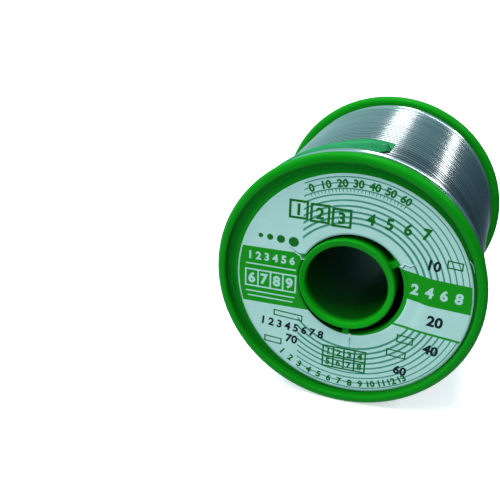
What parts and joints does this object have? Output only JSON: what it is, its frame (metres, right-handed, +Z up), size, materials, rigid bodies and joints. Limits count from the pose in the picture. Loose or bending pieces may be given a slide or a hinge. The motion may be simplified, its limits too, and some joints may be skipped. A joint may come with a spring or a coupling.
{
  "type": "solder wire spool",
  "caption": "Moulded plastic spool wound with solder wire, with a through bore, sunk paper labels and a taped wire end.",
  "frame": {"origin": "middle of the bore, halfway between the two rim faces", "axes": "+Y along the bore axis from the front flange to the rear flange, +Z up as the spool lies on its two rims, +X to the right seen from the front"},
  "size_m": [0.067, 0.0634, 0.067],
  "materials": {
    "green_plastic": "moulded, semi-gloss",
    "label_paper": "coated, satin",
    "solder": "drawn, slightly dull",
    "flux": "resin",
    "green_tape": "glossy film"
  },
  "bodies": {
    "root": {"front_flange": "green_plastic", "rear_flange": "green_plastic", "winding_barrel": "green_plastic", "bore_tube": "green_plastic", "front_label": "label_paper", "rear_label": "label_paper", "inner_wire_layers": "solder", "outer_wire_layer": "solder", "wire_tail": "solder", "tail_flux_core": "flux", "wire_start_end": "solder", "retaining_tape": "green_tape"}
  },
  "joints": []
}
